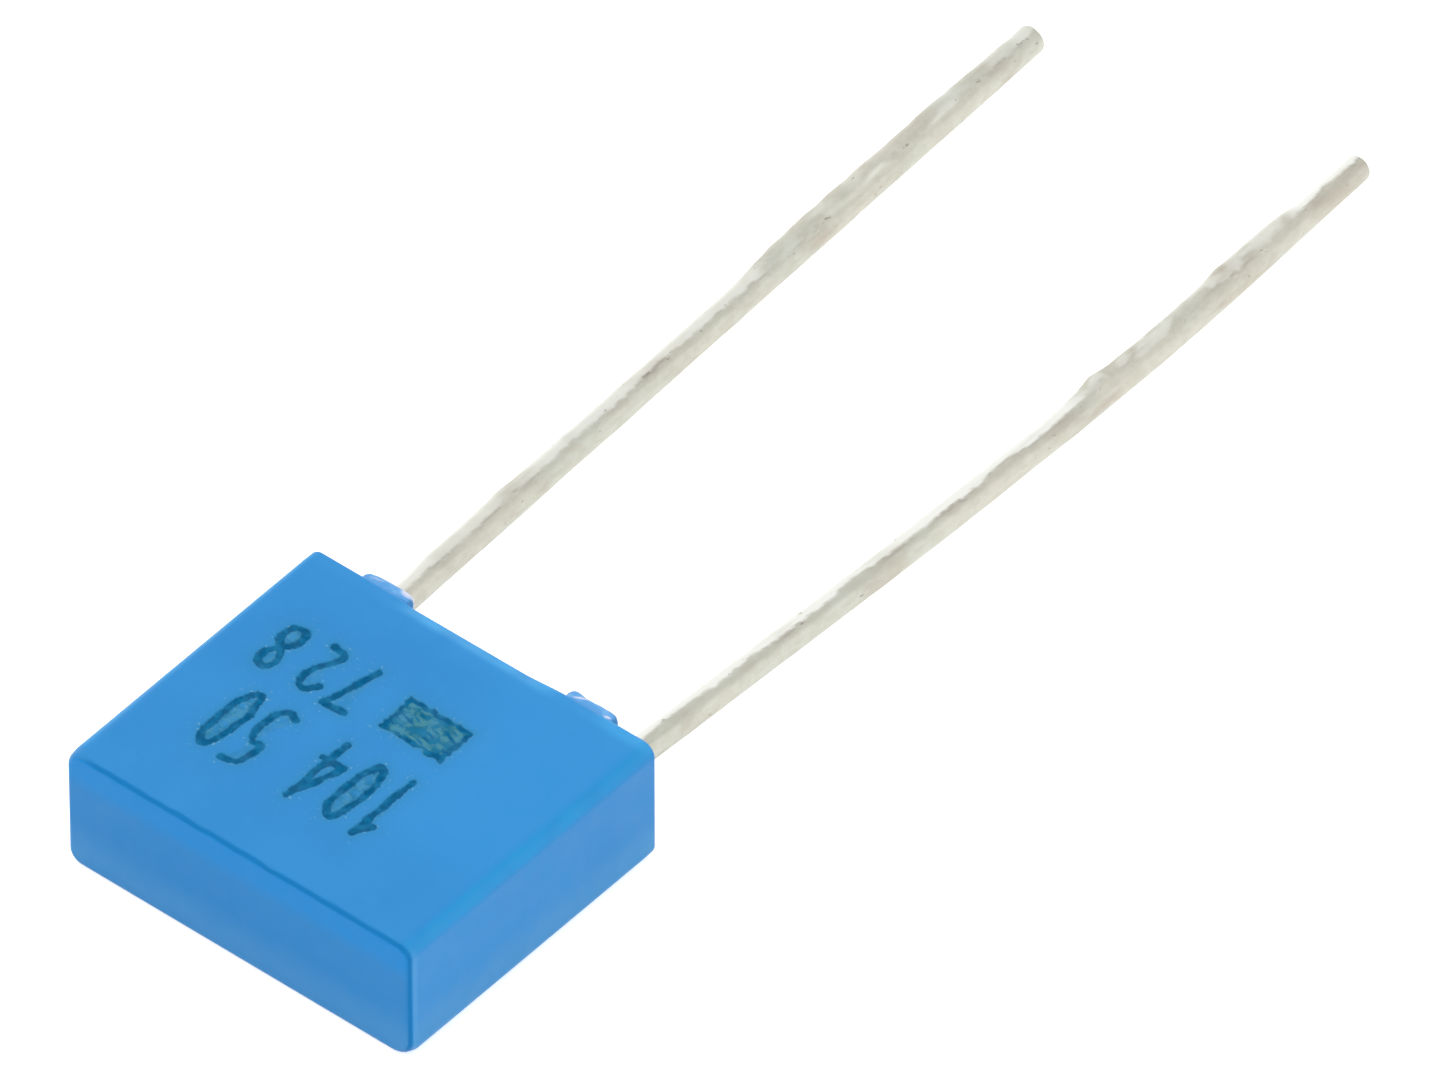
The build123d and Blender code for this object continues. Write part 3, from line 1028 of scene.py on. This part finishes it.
def tin_coat(mesh, coat, seed):
    """Thickens the tin on a lead's upper side, and notes where a painted highlight lies on it and the
    painted dark line where that ends.
    """
    places, normals = vertex_places(mesh), vertex_normals(mesh)
    facing = normals @ np.array((math.cos(TIN_SIDE), 0.0, math.sin(TIN_SIDE)))
    thick = np.interp(places[:, 1], *zip(*coat["swelling"])) * (1 + 0.07 * ripple(places, 0.5, seed))
    places += normals * (thick * smooth_step(facing, 0.1, 1.0))[:, None]
    move_vertices(mesh, places)

    def uneven(squeeze, wavelength, step):
        return ripple(places * (1, squeeze, 1), wavelength, seed + step)

    ragged = 0.15 * uneven(0.5, 0.9, 1) + 0.05 * uneven(1, 0.24, 2) + 0.03 * uneven(1, 0.1, 4)
    border = facing + ragged - coat["border"]
    # The painted highlight on the side facing TIN_SIDE, dimmer where the tin is thick, with painted
    # glints there
    thick_tin = smooth_step(thick, 0.02, 0.06)
    patches = smooth_step(uneven(0.7, 0.5, 3), -0.5, 0.5)
    bright = coat["shine"] * smooth_step(border, -0.08, 0.12) * (1 - thick_tin * (0.60 + 0.40 * patches))
    glints = smooth_step(uneven(0.3, 0.5, 5), 0.25, 0.65) * window(facing, 0.25, 0.5, 0.8, 1.0)
    broken = 0.35 + 0.65 * smooth_step(uneven(0.4, 0.7, 6), -0.35, 0.25)
    store(mesh, "tin_highlight", np.maximum(bright, 0.5 * thick_tin * glints))
    # The painted dark line along the highlight's edge, broken in places
    store(mesh, "tin_shade_line", window(border, -0.20, -0.09, -0.04, 0.05) * broken)


def resin_surface(lead_x):
    """Grid places over the cavity as (x, z), the resin's height at each, and the grid's two counts."""
    xs = set(np.round(np.arange(-CAVITY_HALF_X - 0.06, CAVITY_HALF_X + 0.07, 0.06), 4))
    for x in lead_x:
        xs |= set(np.round(np.arange(x - 0.5, x + 0.51, 0.02), 4))
    xs = np.array(sorted(xs))
    xs = xs[np.concatenate([[True], np.diff(xs) > 0.008])]
    zs = np.arange(-CAVITY_HALF_Z - 0.04, CAVITY_HALF_Z + 0.041, 0.02)
    grid = np.array([(x, z) for x in xs for z in zs])
    wall = np.minimum(CAVITY_HALF_X - np.abs(grid[:, 0]), CAVITY_HALF_Z - np.abs(grid[:, 1]))
    height = RESIN_Y + 0.05 * np.exp(-np.maximum(wall, 0) / 0.1) + 0.008 * ripple(grid, 1.4, 31)
    for x in lead_x:
        gap = np.hypot(grid[:, 0] - x, grid[:, 1]) - WIRE_RADIUS
        height += CREEP_HEIGHT * np.clip(1 - gap / CREEP_WIDTH, 0, 1) ** 2
    return grid, height, len(xs), len(zs)


def poured_resin(lead_x):
    """Resin under its uneven surface, wider and deeper than the cavity that will trim it."""
    grid, height, rows, columns = resin_surface(lead_x)
    corners = [i * columns + j for i in range(rows - 1) for j in range(columns - 1)]
    faces = [(a, a + 1, a + columns + 1, a + columns) for a in corners]
    rim = [i * columns for i in range(rows)]
    rim += [(rows - 1) * columns + j for j in range(1, columns)]
    rim += [i * columns + columns - 1 for i in range(rows - 2, -1, -1)]
    rim += list(range(columns - 2, 0, -1))
    below = {a: len(grid) + i for i, a in enumerate(sorted(rim))}
    faces += [(a, b, below[b], below[a]) for a, b in zip(rim, rim[1:] + rim[:1])]
    faces.append(tuple(below[a] for a in rim))
    vertices = [(x, y, MID_Z + z) for (x, z), y in zip(grid, height)]
    vertices += [(x, FLOOR_Y - 0.2, MID_Z + z) for x, z in grid[list(below)]]
    pour = new_object("resin_fill", vertices, faces)
    face_outwards(pour.data)
    return pour


def resin_holes(lead_x):
    """What stands in the resin: the film with its contacts, the ribs and the leads."""
    low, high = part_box("metal_spray_left")[0] / MM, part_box("metal_spray_right")[1] / MM
    holes = [plain_box("block", low, high)]
    holes += [rib(side, 0.3, 0.2) for side in (-1, 1)]
    bore = ring_profile(WIRE_RADIUS, WIRE_RADIUS, [WIRE_RADIUS - 1e-4] * 4, even_stops(2, 2), 12)
    for x, node in zip(lead_x, ("lead_left", "lead_right")):
        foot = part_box(node)[0].y / MM
        holes.append(ringed_solid("bore", [(bore, 0.0, foot), (bore, 0.0, RIM_Y + 0.5)], x))
    return holes


def resin_piece():
    """Cast resin: fills the cavity round the inner pieces, and creeps up walls and leads."""
    left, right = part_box("lead_left")[1].x / MM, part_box("lead_right")[0].x / MM
    lead_x = [left - WIRE_RADIUS, right + WIRE_RADIUS]
    pour = poured_resin(lead_x)
    core = ringed_solid("core", cavity_rings(even_stops(9, 4), RIM_Y + 0.1))
    resin = combined(pour, [core], "INTERSECT")
    return combined(resin, resin_holes(lead_x), "DIFFERENCE")


# --- Object ---

SHARP_EDGE = math.radians(32)

def dress(piece, material, node):
    """Gives a piece its finish, puts it under the root, and hides the solid that it stands for."""
    piece.data.materials.clear()
    piece.data.materials.append(material)
    piece.data.shade_smooth()
    piece.data.set_sharp_from_angle(angle=SHARP_EDGE)
    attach(piece, "root")
    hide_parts(node)


def build_object():
    tin = tinned_wire()
    dress(case_piece(), moulded_blue(), "case")
    dress(resin_piece(), cast_resin(), "potting_resin")
    left = lead_piece("left_wire", "lead_left", -1, LEFT_RUNS, LEFT_TIN, 3, tin)
    right = lead_piece("right_wire", "lead_right", 1, RIGHT_RUNS, RIGHT_TIN, 8, tin)
    dress(left, tin, "lead_left")
    dress(right, tin, "lead_right")
    finishes = {"film_stack": wound_film()}
    finishes["metal_spray_left"] = finishes["metal_spray_right"] = sprayed_zinc()
    for node, material in finishes.items():
        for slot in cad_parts[node].material_slots:
            slot.material = material


# --- Studio ---

FLOOR_Z = -0.002
FLOOR_REACH = 600
SOFTBOX_DISTANCE, SOFTBOX_WIDTH, SOFTBOX_HEIGHT = 0.6, 0.4, 0.3  # in metres
CAMERA_AZIMUTH = 39.81
CAMERA_ELEVATION = 43.87
CAMERA_DISTANCE = 0.4237
CAMERA_LENS = 655.1
AIM_RIGHT, AIM_UP = 7.799, 5.907  # from the middle of the closed end, in the picture plane
# The room: how bright low down and high up; then where it is brighter or quieter, from the
# turn at which that starts to the turn at which it is full, and by how much
ROOM_LOW, ROOM_HIGH = 0.93, 0.78
BRIGHT_SIDES = [((-0.66, 0.30, 0.69), 0.55, 0.85, 0.38), ((0.48, 0.55, 0.68), 0.70, 0.96, 0.26)]
QUIET_SIDE, QUIET_LOSS = ((0.03, -0.70, 0.71), 0.60, 0.95), 0.09


def direction_at(azimuth, elevation):
    """The direction that far round from -Y towards +X, and that far up, in degrees."""
    turn, rise = math.radians(azimuth), math.radians(elevation)
    return Vector((math.sin(turn) * math.cos(rise), -math.cos(turn) * math.cos(rise), math.sin(rise)))


def camera():
    towards = direction_at(CAMERA_AZIMUTH, CAMERA_ELEVATION)
    right = direction_at(CAMERA_AZIMUTH + 90, 0)
    up = towards.cross(right)
    aim = (Vector((0.0, CLOSED_END_Y, MID_Z)) + AIM_RIGHT * right + AIM_UP * up) * MM
    data = bpy.data.cameras.new("camera")
    data.lens, data.sensor_width = CAMERA_LENS, 36.0
    data.clip_start, data.clip_end = 0.01, 20.0
    eye = add_object("camera", data)
    eye.location = aim + towards * CAMERA_DISTANCE
    eye.rotation_euler = towards.to_track_quat("Z", "Y").to_euler()
    bpy.context.scene.camera = eye


def softbox(name, azimuth, elevation, brightness):
    """An area lamp that faces the object; brightness is what its surface shows."""
    direction = direction_at(azimuth, elevation)
    data = bpy.data.lights.new(name, "AREA")
    data.shape, data.size, data.size_y = "RECTANGLE", SOFTBOX_WIDTH, SOFTBOX_HEIGHT
    data.energy = brightness * math.pi * SOFTBOX_WIDTH * SOFTBOX_HEIGHT
    lamp = add_object(name, data)
    lamp.location = direction * SOFTBOX_DISTANCE
    lamp.rotation_euler = direction.to_track_quat("Z", "Y").to_euler()
    lamp.visible_camera = False


def room():
    """A pale room: white low down, brighter towards the left and behind, quieter in front."""
    world = bpy.data.worlds.new("room")
    bpy.context.scene.world = world
    world.use_nodes = True
    tree = world.node_tree
    background = tree.nodes["Background"]
    background.inputs["Color"].default_value = (1.0, 1.0, 1.0, 1.0)
    direction = add(tree, "ShaderNodeTexCoord").outputs["Generated"]
    up = axis(direction, "Z")

    def towards(aim, start, end):
        turn = follow("ShaderNodeVectorMath", {0: direction, 1: aim}, operation="DOT_PRODUCT")
        return fade(turn.outputs["Value"], start, end)

    strength = fade(up, 0.05, 0.35, ROOM_LOW, ROOM_HIGH)
    for aim, start, end, gain in BRIGHT_SIDES:
        strength = calc("MULTIPLY_ADD", towards(aim, start, end), gain, strength)
    quiet = times(towards(*QUIET_SIDE), fade(up, 0.05, 0.25))
    strength = calc("MULTIPLY_ADD", quiet, -QUIET_LOSS, strength)
    feed(background, {"Strength": strength})


def studio():
    signs = ((-1, -1), (1, -1), (1, 1), (-1, 1))
    corners = [(x * FLOOR_REACH, y * FLOOR_REACH, FLOOR_Z) for x, y in signs]
    floor = new_object("floor", corners, [(0, 1, 2, 3)])
    floor.data.materials.append(studio_floor())
    room()
    softbox("left_softbox", 300, 40, 1.4)
    softbox("right_softbox", 110, 25, 1.2)
    camera()
    bpy.context.scene.view_settings.view_transform = "Standard"


build_object()
studio()
